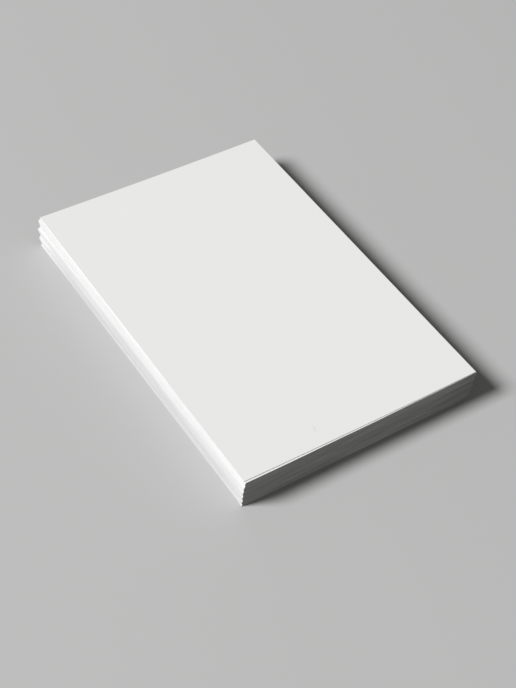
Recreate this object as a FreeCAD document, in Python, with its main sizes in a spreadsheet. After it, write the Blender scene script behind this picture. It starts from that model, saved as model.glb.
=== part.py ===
"""Pack of photo paper: fifty loose 10 x 15 cm sheets squared up by hand into one block.

The block stands on its bottom sheet. +X runs along the short edge, +Y along the long edge
and +Z up. The origin is the middle of the block's footprint on the surface it lies on.
Every sheet is a body of its own, counted from the bottom: sheet_01, sheet_02 and so on.
"""
import FreeCAD
import Part
import os
from math import asin, pi

import Sketcher

document = FreeCAD.newDocument("photo_paper_pack")

# ------------------------------------------------------------- driving dimensions, in mm
# Each row holds an alias, its value and what it is.
SIZES = [
    ("sheet_count", 50, "sheets in the pack"),
    ("sheet_width", 102, "nominal short side of a sheet, along X"),
    ("sheet_length", 152, "nominal long side of a sheet, along Y"),
    ("sheet_thickness", 0.275, "caliper of one sheet of coated photo paper"),
    ("air_film", 0.01, "air left between two sheets where they lie closest"),
    ("curl_rise", 0.4, "how far the top sheet's long edges curl up above its middle"),
    ("lift_sheets", 17, "sheets that one stroke of the guillotine cuts together"),
    ("lift_crest", 30, "number of a sheet that is cut largest within its lift"),
    ("lift_width_error", 0.04, "how far a stroke strays across the width within a lift"),
    ("lift_length_error", 0.7, "how far a stroke strays along the length within a lift"),
    ("lift_turn", 0.04, "how far the sheets of a lift lie turned to and fro, in degrees"),
    ("batch_sheets", 54, "sheets over which the guillotine's backstop drifts and returns"),
    ("batch_crest", 32, "number of a sheet that is cut largest by that drift"),
    ("batch_width_error", 0.22, "how far the drift strays across the width"),
    ("batch_length_error", 0.12, "how far the drift strays along the length"),
    ("twist", 0.21, "how far the block turns anticlockwise from bottom to top, in degrees"),
    ("lean_right", 0.48, "how far the front edges lean to the right from bottom to top"),
    ("lean_forward", 0.7, "how far the front edges lean forward from bottom to top"),
    ("jog_error", 0.03, "how far a squared-up sheet lies from its true place"),
    ("jog_turn", 0.012, "how far a squared-up sheet lies turned, in degrees"),
    ("top_turn", 0.38, "how far the top sheet lies turned clockwise from the block, in degrees"),
    ("top_shift", 0.4, "how far the top sheet's front edge lies to the left of the block's"),
    ("top_set_back", 0.44, "how far the top sheet's front edge lies behind the block's"),
]

sizes = document.addObject("Spreadsheet::Sheet", "Sizes")
for row, (alias, number, meaning) in enumerate(SIZES, start=1):
    sizes.set(f"A{row}", meaning)
    sizes.set(f"B{row}", str(number))
    sizes.setAlias(f"B{row}", alias)
document.recompute()


def evaluate(expression):
    """Number that an expression gives with the sizes as they stand."""
    return float(sizes.evalExpression(expression))


# ------------------------------------------------------- how one sheet differs from another
def share_of_height(number):
    """Expression: how high this sheet lies in the block, from 0 at the bottom to 1 on top."""
    return f"({number} - 1) / (Sizes.sheet_count - 1)"


def lift_wave(number):
    """Expression: where this sheet comes in its lift, from 1 at the crest down to -1."""
    return f"cos(360deg * ({number} - Sizes.lift_crest) / Sizes.lift_sheets)"


def cut_error(number, side):
    """Expression: how much larger than nominal this sheet's width or length was cut.

    The guillotine strays in two waves, one within each lift and one over the whole batch.
    """
    batch_wave = f"cos(360deg * ({number} - Sizes.batch_crest) / Sizes.batch_sheets)"
    return f"Sizes.lift_{side}_error * {lift_wave(number)} + Sizes.batch_{side}_error * {batch_wave}"


def edge_rise(number):
    """Expression: how far this sheet's long edges stand above its middle.

    The weight of the sheets above presses the curl out, so it grows evenly with the height.
    """
    return f"Sizes.curl_rise * {share_of_height(number)}"


def curl_radius(number):
    """Expression: radius of the arc that rises by edge_rise over half the nominal width."""
    rise = edge_rise(number)
    return f"(Sizes.sheet_width / 2) ^ 2 / (2 * {rise}) + {rise} / 2"


def lie(number, top_number):
    """Expressions: X, Y and turn in degrees at which the middle of the front edge lies.

    The block leans and twists evenly about its middle height. Below the top sheet the
    places also go round by the golden angle, which never repeats, so no two neighbours
    lie alike.
    """
    share = f"({share_of_height(number)} - 0.5)"
    if number == top_number:
        return (
            f"Sizes.lean_right * {share} - Sizes.top_shift",
            f"Sizes.top_set_back - Sizes.lean_forward * {share}",
            f"Sizes.twist * {share} - Sizes.top_turn",
        )
    around = f"{number} * 137.508deg"
    return (
        f"Sizes.lean_right * {share} + Sizes.jog_error * sin({around})",
        f"Sizes.jog_error * cos({around}) - Sizes.lean_forward * {share}",
        f"Sizes.twist * {share} + Sizes.lift_turn * {lift_wave(number)}"
        f" + Sizes.jog_turn * sin(2 * {around})",
    )


# ---------------------------------------------------------------- cross-section of a sheet
# Seen along Y: two long faces joined by the two cut edges. The section's origin is the
# middle of the underside, where a curled sheet is lowest.
UNDER, UPPER, LEFT, RIGHT = 0, 1, 2, 3
START, END, CENTRE = 1, 2, 3
ROOT_POINT = (-1, 1)
VERTICAL_AXIS = -2


def add_faces(section, left_reach, right_reach, thickness):
    """Draw the two faces of a sheet that lies flat."""
    for height in (0, thickness):
        ends = FreeCAD.Vector(-left_reach, height), FreeCAD.Vector(right_reach, height)
        section.addGeometry(Part.LineSegment(*ends))


def add_curled_faces(section, left_reach, right_reach, thickness, radius):
    """Draw the two faces of a curled sheet as arcs about one centre above its middle."""
    centre = FreeCAD.Vector(0, radius)
    for face_radius in (radius, radius - thickness):
        circle = Part.Circle(centre, FreeCAD.Vector(0, 0, 1), face_radius)
        start = -pi / 2 - asin(left_reach / face_radius)
        end = -pi / 2 + asin(right_reach / face_radius)
        section.addGeometry(Part.ArcOfCircle(circle, start, end))


def name_constraint(section, name, expression, *constraint):
    """Add one dimension, at the value of its expression, and bind it to the expression."""
    index = section.addConstraint(Sketcher.Constraint(*constraint, evaluate(expression)))
    section.renameConstraint(index, name)
    section.setExpression(f"Constraints.{name}", expression)


def draw_section(section, number):
    """Draw and constrain the cross-section of one sheet."""
    left = f"Sizes.sheet_width / 2 + {cut_error(number, 'width')}"
    right = "Sizes.sheet_width / 2"
    reach = evaluate(left), evaluate(right), evaluate("Sizes.sheet_thickness")
    flat = number == 1
    if flat:
        add_faces(section, *reach)
    else:
        add_curled_faces(section, *reach, evaluate(curl_radius(number)))
    for end in (START, END):
        foot = section.getPoint(UNDER, end)
        head = section.getPoint(UPPER, end)
        section.addGeometry(Part.LineSegment(foot, head))
    for edge, end in ((LEFT, START), (RIGHT, END)):
        section.addConstraint(Sketcher.Constraint("Coincident", UNDER, end, edge, START))
        section.addConstraint(Sketcher.Constraint("Coincident", UPPER, end, edge, END))
        section.addConstraint(Sketcher.Constraint("Vertical", edge))
    name_constraint(section, "left_reach", left, "DistanceX", UNDER, START, *ROOT_POINT)
    name_constraint(section, "right_reach", right, "DistanceX", *ROOT_POINT, UNDER, END)
    if flat:
        section.addConstraint(Sketcher.Constraint("PointOnObject", *ROOT_POINT, UNDER))
        section.addConstraint(Sketcher.Constraint("Horizontal", UNDER))
        section.addConstraint(Sketcher.Constraint("Horizontal", UPPER))
        name_constraint(section, "thickness", "Sizes.sheet_thickness", "DistanceY", LEFT, START, LEFT, END)
    else:
        radius = curl_radius(number)
        section.addConstraint(Sketcher.Constraint("Coincident", UNDER, CENTRE, UPPER, CENTRE))
        section.addConstraint(Sketcher.Constraint("PointOnObject", UNDER, CENTRE, VERTICAL_AXIS))
        section.addConstraint(Sketcher.Constraint("PointOnObject", *ROOT_POINT, UNDER))
        name_constraint(section, "under_radius", radius, "Radius", UNDER)
        name_constraint(section, "upper_radius", f"{radius} - Sizes.sheet_thickness", "Radius", UPPER)


# ------------------------------------------------------------------------------ the sheets
def make_sheet(number, top_number):
    """One sheet: its cross-section, run back from the front edge over the sheet's length."""
    body = document.addObject("PartDesign::Body", f"sheet_{number:02d}")
    body.Label = f"sheet_{number:02d}"
    section = body.newObject("Sketcher::SketchObject", f"section_{number:02d}")
    plane = next(face for face in body.Origin.OriginFeatures if face.Role == "XZ_Plane")
    section.AttachmentSupport = (plane, "")
    section.MapMode = "FlatFace"
    draw_section(section, number)
    run = body.newObject("PartDesign::Pad", f"length_{number:02d}")
    run.Profile = section
    run.Reversed = True
    run.setExpression("Length", f"Sizes.sheet_length + {cut_error(number, 'length')}")
    across, back, turn = lie(number, top_number)
    pitch = "(Sizes.sheet_thickness + Sizes.air_film)"
    body.setExpression("Placement.Base.x", across)
    body.setExpression("Placement.Base.y", f"-Sizes.sheet_length / 2 + {back}")
    body.setExpression("Placement.Base.z", f"({number} - 1) * {pitch}")
    body.setExpression("Placement.Rotation.Angle", turn)
    return body


top_number = round(evaluate("Sizes.sheet_count"))
sheets = [make_sheet(number, top_number) for number in range(1, top_number + 1)]
document.recompute()

for item in document.Objects:
    if "Invalid" in item.State or "Error" in item.State:
        raise RuntimeError(f"{item.Label} did not recompute: {item.State}")
for body in sheets:
    if body.Shape.isNull() or not body.Shape.isValid():
        raise RuntimeError(f"{body.Label} has no valid shape")

os.makedirs("parts", exist_ok=True)
for body in sheets:
    body.Shape.exportStep(f"parts/{body.Label}.step")
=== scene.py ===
"""Pack of photo paper: fifty coated 10 x 15 cm sheets, squared up by hand into one block.

Metres, in the part's own frame: +X along the short edge, +Y along the long edge, +Z up, with the
origin under the middle of the block.
"""
from math import radians

import bpy
import numpy as np
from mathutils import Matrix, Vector


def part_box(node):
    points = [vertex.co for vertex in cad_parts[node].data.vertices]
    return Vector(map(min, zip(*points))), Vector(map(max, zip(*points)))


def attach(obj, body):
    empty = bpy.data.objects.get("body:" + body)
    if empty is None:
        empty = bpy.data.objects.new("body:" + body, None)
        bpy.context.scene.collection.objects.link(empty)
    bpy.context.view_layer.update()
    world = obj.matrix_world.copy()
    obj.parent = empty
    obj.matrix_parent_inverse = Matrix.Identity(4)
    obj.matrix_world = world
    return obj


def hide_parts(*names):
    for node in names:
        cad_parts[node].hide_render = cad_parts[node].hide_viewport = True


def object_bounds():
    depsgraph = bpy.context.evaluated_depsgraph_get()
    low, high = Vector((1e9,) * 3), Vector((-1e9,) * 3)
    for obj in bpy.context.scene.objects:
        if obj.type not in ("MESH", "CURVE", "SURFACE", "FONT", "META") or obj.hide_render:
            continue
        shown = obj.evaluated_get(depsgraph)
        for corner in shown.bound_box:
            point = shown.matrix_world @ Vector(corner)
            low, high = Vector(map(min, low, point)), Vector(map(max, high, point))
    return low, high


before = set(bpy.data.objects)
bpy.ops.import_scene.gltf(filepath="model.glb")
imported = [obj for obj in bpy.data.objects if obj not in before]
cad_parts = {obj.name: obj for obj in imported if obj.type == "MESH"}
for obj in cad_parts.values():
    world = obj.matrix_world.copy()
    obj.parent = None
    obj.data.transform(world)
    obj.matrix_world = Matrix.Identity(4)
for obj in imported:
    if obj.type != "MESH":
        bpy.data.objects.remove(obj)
solid_box = [list(corner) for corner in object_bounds()]

# ---------------------------------------------------------------------------------------------
# The sheet. Photo paper is a core of white pulp between two films of resin, with a coating on
# the face that takes the ink. A guillotine cuts it in lifts, and its blade presses a fine round
# into the edge of each film. The finished sheets curl a little towards the coated face.
sheet_thickness = 0.275e-3
pressed_round = 0.02e-3
sharp_angle = radians(30)
points_across = 17
points_along = 25
flare_width = 0.06  # as a share of the sheet's width
flare_length = 0.02  # as a share of its length
corner_share = 0.14  # share of a side over which a corner's tone comes in
# painted light: the long edges lighter towards both ends
ends_painted_lighter = 0.04  # this and the next two are shares of white
# the long edges whiten towards the back corner to this share
back_corner_white = 0.95
# painted shade at the front right corner
front_right_painted_shade = 0.24


def between(value, low, high):
    """How far value has gone from low to high, from 0 to 1."""
    return np.clip((value - low) / (high - low), 0, 1)


def solid_points(node):
    """Vertices of one of the part's solids, as rows of X, Y and Z."""
    points = np.empty(len(node.data.vertices) * 3)
    node.data.vertices.foreach_get("co", points)
    return points.reshape(-1, 3)


def sheet_corners(points):
    """Corners of a sheet in plan, from the front left anticlockwise, and its width and length.

    Each corner is the solid's point that lies farthest along a diagonal.
    """
    diagonals = np.array([[-1, -1], [1, -1], [1, 1], [-1, 1]])
    corners = points[np.argmax(points[:, :2] @ diagonals.T, axis=0), :2]
    return corners, np.linalg.norm(corners[1] - corners[0]), np.linalg.norm(corners[3] - corners[0])


def share_grid(width, length):
    """Where the points of a sheet's grid lie in plan, as two shares.

    s goes from 0 at the left edge to 1 at the right one, over the face, down the right edge, back
    over the underside and up the left edge. t goes from 0 at the front edge to 1 at the back one,
    with a line of points where the pressed round ends and one where the flare does.
    """
    inset = np.linspace(pressed_round / width, 1 - pressed_round / width, points_across)
    share_across = np.concatenate([inset, [1, 1], inset[::-1], [0, 0]])
    inset = np.linspace(pressed_round / length, 1 - pressed_round / length, points_along - 3)
    share_along = np.concatenate([[0, inset[0], flare_length], inset[1:], [1]])
    return np.meshgrid(share_across, share_along, indexing="ij")


def sheet_surface(points, wander, flare, forward):
    """Grid of points of a closed sheet, and their shares s and t.

    A point lies between the four corners by its shares s and t. Its height is the underside's
    lowest height, plus the curl, which grows with the square of the distance from the middle, plus
    the thickness on the face side. wander moves the edges a few hundredths of a millimetre in or
    out in slow waves. flare draws the front left corner out to the left, less and less over
    flare_width and flare_length. forward is how far the front right corner stands forward.
    """
    corners, width, length = sheet_corners(points)
    corners[1, 1] -= forward
    s, t = share_grid(width, length)
    low = points[:, 2].min()
    curl = points[:, 2].max() - low - sheet_thickness
    low_round, high_round = pressed_round, sheet_thickness - pressed_round
    section_height = np.concatenate([
        np.full(points_across, sheet_thickness), [high_round, low_round],
        np.zeros(points_across), [low_round, high_round],
    ])
    height = np.repeat(section_height[:, None], points_along, axis=1)
    height[:, [0, -1]] = np.clip(height[:, [0, -1]], low_round, high_round)
    reach, side_turns, side_start, end_turns, end_start = wander
    side_wave = reach * np.sin(2 * np.pi * (side_turns * t + side_start))
    end_wave = reach * np.sin(2 * np.pi * (end_turns * s + end_start))
    across, along = s + (2 * s - 1) * side_wave / width, t + (2 * t - 1) * end_wave / length
    weights = [(1 - across) * (1 - along), across * (1 - along), across * along, (1 - across) * along]
    near_left, near_front = 1 - between(across, 0, flare_width), 1 - between(along, 0, flare_length)
    drawn_out = flare * near_left * near_front
    plan = np.stack(weights, axis=-1) @ corners - drawn_out[..., None] * (1, 0)
    z = low + curl * (2 * across - 1) ** 2 + height
    return np.concatenate([plan, z[..., None]], axis=-1), s, t


def sheet_faces():
    """Quads of that grid, closed round the section and over both ends, and the finish of each.

    Finish 0 is the coated face, 1 the cut along the long sides and 2 the cut along the short ones.
    """
    around = 2 * points_across + 4
    number = np.arange(around * points_along).reshape(around, points_along)
    after = np.roll(number, -1, axis=0)
    skin = np.stack([number[:, :-1], after[:, :-1], after[:, 1:], number[:, 1:]], axis=-1)
    long_cut, short_cut = 1, 2
    finish = np.zeros(skin.shape[:2], np.int32)
    finish[:, [0, -1]] = short_cut
    finish[points_across - 1:points_across + 2] = long_cut
    finish[around - 3:] = long_cut
    over = np.concatenate([[around - 1], np.arange(points_across + 1)])
    under = np.arange(around - 2, points_across, -1)
    ends = np.stack([under[:-1], under[1:], over[1:], over[:-1]], axis=-1)
    front, back = number[ends, 0], number[ends[:, ::-1], -1]
    caps = np.concatenate([front, back])
    return np.concatenate([skin.reshape(-1, 4), caps]), np.append(finish, np.full(len(caps), short_cut))


def sheet_tones(s, t, tone, end_tone_and_painted_light):
    """Share of white at each point of the grid, for the cut edges.

    A long edge has the sheet's tone with its painted shade, and painted light a little whiter away
    from its middle. Over corner_share of its length before the back corner it goes evenly to the
    back corner's white. The short edges have the end tone with its painted light. The front right
    corner has painted shade, a share of white that falls evenly to nothing over corner_share of
    either edge.
    """
    # painted light: lighter towards both ends of the long edge
    long_tone = tone + ends_painted_lighter * (2 * t - 1) ** 2
    # the long edges whiten towards the back corner
    near_back = between(t, 1 - corner_share, 1)
    tones = long_tone + near_back * (back_corner_white - long_tone)
    tones[:, [0, -1]] = end_tone_and_painted_light
    # painted shade at the front right corner
    near_right, near_front = between(s, 1 - corner_share, 1), 1 - between(t, 0, corner_share)
    return tones * (1 - front_right_painted_shade * near_right * near_front)


def make_sheet(node, wander, flare, forward, tone, end_tone_and_painted_light, finishes):
    """Build one sheet in the place of its solid, with its own tones on the cut edges."""
    surface, s, t = sheet_surface(solid_points(node), wander, flare, forward)
    quads, finish_numbers = sheet_faces()
    mesh = bpy.data.meshes.new(node.name + "_paper")
    mesh.from_pydata(surface.reshape(-1, 3), [], quads)
    for finish in finishes:
        mesh.materials.append(finish)
    mesh.polygons.foreach_set("material_index", finish_numbers)
    mesh.polygons.foreach_set("use_smooth", np.ones(len(quads), bool))
    mesh.set_sharp_from_angle(angle=sharp_angle)
    # the tones carry the painted light and shade as well as each sheet's own tone
    tones = mesh.attributes.new("sheet_tone_and_painted_light", "FLOAT", "POINT")
    tones.data.foreach_set("value", sheet_tones(s, t, tone, end_tone_and_painted_light).ravel())
    mesh.update()
    sheet = bpy.data.objects.new(node.name + "_paper", mesh)
    bpy.context.collection.objects.link(sheet)
    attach(sheet, "root")
    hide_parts(node.name)


# The finishes of the sheet: the coated face, smooth and with a soft gloss, and the cut edges, where
# the pulp shows between the films, matt and a shade different from one sheet to the next. The short
# edges are cut across the grain, so the blade leaves them streakier than the long ones.
class Signal:
    """A socket in a material's nodes. Arithmetic on it adds the Math nodes that work it out."""

    def __init__(self, tree, socket):
        self.tree = tree
        self.socket = socket

    def node(self, kind, settings, inputs, output=0):
        """Add any node: its settings first, then the values or links of its sockets."""
        made = self.tree.nodes.new(kind)
        for name, value in settings.items():
            setattr(made, name, value)
        for name, value in inputs.items():
            if isinstance(value, Signal):
                self.tree.links.new(value.socket, made.inputs[name])
            else:
                made.inputs[name].default_value = value
        return Signal(self.tree, made.outputs[output])

    def feed(self, socket):
        """Link this signal to a socket that takes it."""
        self.tree.links.new(self.socket, socket)

    def math(self, operation, *terms):
        """Add the Math node of one operation, its terms in order."""
        return self.node("ShaderNodeMath", {"operation": operation}, dict(enumerate(terms)))

    def __add__(self, other):
        return self.math("ADD", self, other)

    def __sub__(self, other):
        return self.math("SUBTRACT", self, other)

    def __rsub__(self, other):
        return self.math("SUBTRACT", other, self)

    def __mul__(self, other):
        return self.math("MULTIPLY", self, other)

    __radd__ = __add__
    __rmul__ = __mul__


def new_finish(name):
    """A material, its Principled shader, and the place on the object as a Signal."""
    material = bpy.data.materials.new(name)
    material.use_nodes = True
    tree = material.node_tree
    shader = tree.nodes["Principled BSDF"]
    place = Signal(tree, tree.nodes.new("ShaderNodeTexCoord").outputs["Object"])
    return material, shader, place


def blend(share, first, second):
    """Colour that goes from the first to the second as share goes from 0 to 1.

    Sockets 6 and 7 of a Mix node take its two colours, and its output 2 is the mixed one.
    """
    return share.node("ShaderNodeMix", {"data_type": "RGBA"}, {"Factor": share, 6: first, 7: second}, 2)


def noise(place, stretch, scale, detail):
    """Noise between 0 and 1, drawn out along the axes where stretch is small."""
    along = place.node("ShaderNodeVectorMath", {"operation": "MULTIPLY"}, {0: place, 1: stretch})
    return place.node("ShaderNodeTexNoise", {}, {"Vector": along, "Scale": scale, "Detail": detail})


black = (0, 0, 0, 1)
dull_white = (0.84, 0.838, 0.827, 1)
bright_white = (0.86, 0.858, 0.85, 1)
pulp_white = (0.87, 0.867, 0.88, 1)
scuff_place = (-0.01665, -0.0684, 0)
scuff_turn = radians(-19)
scuff_half_width = 0.55e-3
scuff_half_length = 1.9e-3
face_roughness = 0.4
cloud_roughness = 0.06
pulp_roughness = 0.8
fibre_depth = 0.05


def scuff(place):
    """Share of a scuff at a place: an oval round the origin of its own slanting axes.

    It is 1 less the sum of the squares of the place over the oval's half axes.
    """
    turned = {"Vector": place, "Location": scuff_place, "Rotation": (0, 0, scuff_turn)}
    slant = place.node("ShaderNodeMapping", {"vector_type": "TEXTURE"}, turned)
    across = slant.node("ShaderNodeSeparateXYZ", {}, {"Vector": slant}, 0) * (1 / scuff_half_width)
    along = slant.node("ShaderNodeSeparateXYZ", {}, {"Vector": slant}, 1) * (1 / scuff_half_length)
    return across.node("ShaderNodeClamp", {}, {"Value": 1 - across * across - along * along})


def coated_face(name, scuff_depth):
    """Coating over resin: bright neutral white, hardly clouded, with a soft gloss and fine grain."""
    material, shader, place = new_finish(name)
    cloud = noise(place, stretch=(1, 1, 1), scale=22, detail=2)
    white = blend(cloud, dull_white, bright_white)
    if scuff_depth:
        white = blend(scuff(place) * scuff_depth, white, black)
    grain = noise(place, stretch=(1, 1, 1), scale=3500, detail=1)
    bump = place.node("ShaderNodeBump", {}, {"Height": grain, "Strength": 0.04, "Distance": 1e-5})
    white.feed(shader.inputs["Base Color"])
    (cloud * cloud_roughness + face_roughness).feed(shader.inputs["Roughness"])
    bump.feed(shader.inputs["Normal"])
    shader.inputs["Specular IOR Level"].default_value = 0.3
    return material


def cut_edge(name, streak_depth):
    """Cut pulp: matt white, with the blade's streaks drawn out along the cut and fibres across it.

    The share of white is the sheet's own tone with its painted light and shade, and each noise
    less its mean, times its depth.
    """
    material, shader, place = new_finish(name)
    tone = place.node("ShaderNodeAttribute", {"attribute_name": "sheet_tone_and_painted_light"}, {}, 2)
    fibre = noise(place, stretch=(1, 1, 12), scale=300, detail=3)
    streak = noise(place, stretch=(0.05, 0.05, 1), scale=900, detail=2)
    share = tone + (fibre - 0.5) * fibre_depth + (streak - 0.5) * streak_depth
    bump = place.node("ShaderNodeBump", {}, {"Height": fibre, "Strength": 0.3, "Distance": 2e-5})
    blend(share, black, pulp_white).feed(shader.inputs["Base Color"])
    bump.feed(shader.inputs["Normal"])
    shader.inputs["Roughness"].default_value = pulp_roughness
    shader.inputs["Specular IOR Level"].default_value = 0.2
    return material


# ---------------------------------------------------------------------------------------------
# The block. Forty-nine sheets lie knocked up square, leaning and twisting a little as they rise,
# and the fiftieth lies askew on top. The last few are fanned at the front right corner, each a
# little behind the one below. Nothing holds them but their weight.
cuts = [cut_edge("long_cut", streak_depth=0.06), cut_edge("short_cut", streak_depth=0.8)]
plain_face = coated_face("coated_face", scuff_depth=0)
scuffed_face = coated_face("scuffed_face", scuff_depth=0.1)
edge_wander = 0.03e-3
side_waves = (1, 4)
end_waves = (1, 3)
flare_depth = 0.17e-3
flare_crest = 37.4  # a sheet's number, and the next is how many sheets lie between two crests
flare_sheets = 9.7
flare_base = (0.8, 1.2)
fan_depth = 0.3e-3
fan_sheets = 6
bottom_tone = 0.75  # tones, gains and shadings are shares of white
# painted shade and light: the long edges darker towards the bottom of the block, lighter by up to this
# share over upper_span of its height
upper_painted_light = 0.2
upper_span = (0.28, 0.88)  # shares of the block's height
# painted light and shade in step with the lifts, which evens out the banding of light and shade on the
# long edges
lift_sheets = 17
lift_darkest = 34
lift_painted_shading = 0.02
# painted light: the short edges lighter with height, more so over upper_end_span
bottom_end_tone = 0.78
end_painted_light = 0.08
upper_end_painted_light = 0.12
upper_end_span = (0.6, 0.85)
sheet_shading = 0.007


def wave(number, crest, period):
    """Cosine wave over the sheets' numbers, 1 at the crest."""
    return np.cos(2 * np.pi * (number - crest) / period)


chance = np.random.default_rng(1015)
for number, name in enumerate(sorted(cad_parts), start=1):
    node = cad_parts[name]
    below_top = len(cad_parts) - number
    share_of_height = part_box(node.name)[1][2] / solid_box[1][2]
    wander = (
        chance.uniform(0, edge_wander),
        chance.uniform(*side_waves), chance.random(),
        chance.uniform(*end_waves), chance.random(),
    )
    shade = chance.uniform(-sheet_shading, sheet_shading)
    # painted light and shade in step with the lifts, darkest at lift_darkest
    lift_painted_shade = lift_painted_shading * wave(number, lift_darkest, lift_sheets)
    # painted shade: the long edges darker towards the bottom of the block
    tone = bottom_tone + upper_painted_light * between(share_of_height, *upper_span) - lift_painted_shade + shade
    # painted light: the short edges lighter with height
    end_rise = between(share_of_height, *upper_end_span)
    eased_rise = end_rise * end_rise * (3 - 2 * end_rise)
    end_tone_and_painted_light = bottom_end_tone + end_painted_light * share_of_height + upper_end_painted_light * eased_rise + shade
    flare = flare_depth * (wave(number, flare_crest, flare_sheets) + chance.uniform(*flare_base))
    forward = fan_depth * below_top / fan_sheets if below_top <= fan_sheets else 0
    face = plain_face if below_top else scuffed_face
    make_sheet(node, wander, flare, forward, tone, end_tone_and_painted_light, [face, *cuts])

# ---------------------------------------------------------------------------------------------
# The studio: a plain pale floor before a pale backdrop, one large soft lamp low on the left and a
# little behind, and a dim even fill from all round.
floor_half = 3
floor_grey = 0.5
floor_mesh = bpy.data.meshes.new("floor")
floor_mesh.from_pydata(
    [(-floor_half, -floor_half, 0), (floor_half, -floor_half, 0),
     (floor_half, floor_half, 0), (-floor_half, floor_half, 0)],
    [], [(0, 1, 2, 3)],
)
floor = bpy.data.objects.new("floor", floor_mesh)
bpy.context.collection.objects.link(floor)
floor_finish, floor_shader, _ = new_finish("floor")
floor_shader.inputs["Base Color"].default_value = (floor_grey, floor_grey, floor_grey, 1)
floor_shader.inputs["Roughness"].default_value = 0.9
floor_mesh.materials.append(floor_finish)
floor.visible_diffuse = False

lamp_place = Vector((-4.4, 1.14, 4.25))
lamp_data = bpy.data.lights.new("lamp", "AREA")
lamp_data.shape = "DISK"
lamp_data.size = 2.2
lamp_data.energy = 490
lamp = bpy.data.objects.new("lamp", lamp_data)
lamp.location = lamp_place
lamp.rotation_mode = "QUATERNION"
lamp.rotation_quaternion = lamp_place.to_track_quat("Z", "Y")
bpy.context.collection.objects.link(lamp)

fill_strength = 0.127
fill_tint = (0.97, 1, 0.94, 1)
backdrop_strength = 0.5
backdrop_tint = (1, 1, 1, 1)
world = bpy.data.worlds.new("studio")
world.use_nodes = True
surround = world.node_tree.nodes["Background"]
light_path = world.node_tree.nodes.new("ShaderNodeLightPath")
seen = Signal(world.node_tree, light_path.outputs["Is Camera Ray"])
blend(seen, fill_tint, backdrop_tint).feed(surround.inputs["Color"])
(fill_strength + seen * (backdrop_strength - fill_strength)).feed(surround.inputs["Strength"])
bpy.context.scene.world = world
bpy.context.scene.view_settings.view_transform = "Standard"

camera_data = bpy.data.cameras.new("camera")
camera_data.lens = 77.94
camera_data.sensor_width = 36
camera = bpy.data.objects.new("camera", camera_data)
camera.location = (-0.23884, -0.3258, 0.42103)
camera.rotation_euler = (radians(42.756), radians(-3.622), radians(-33.048))
bpy.context.collection.objects.link(camera)
bpy.context.scene.camera = camera
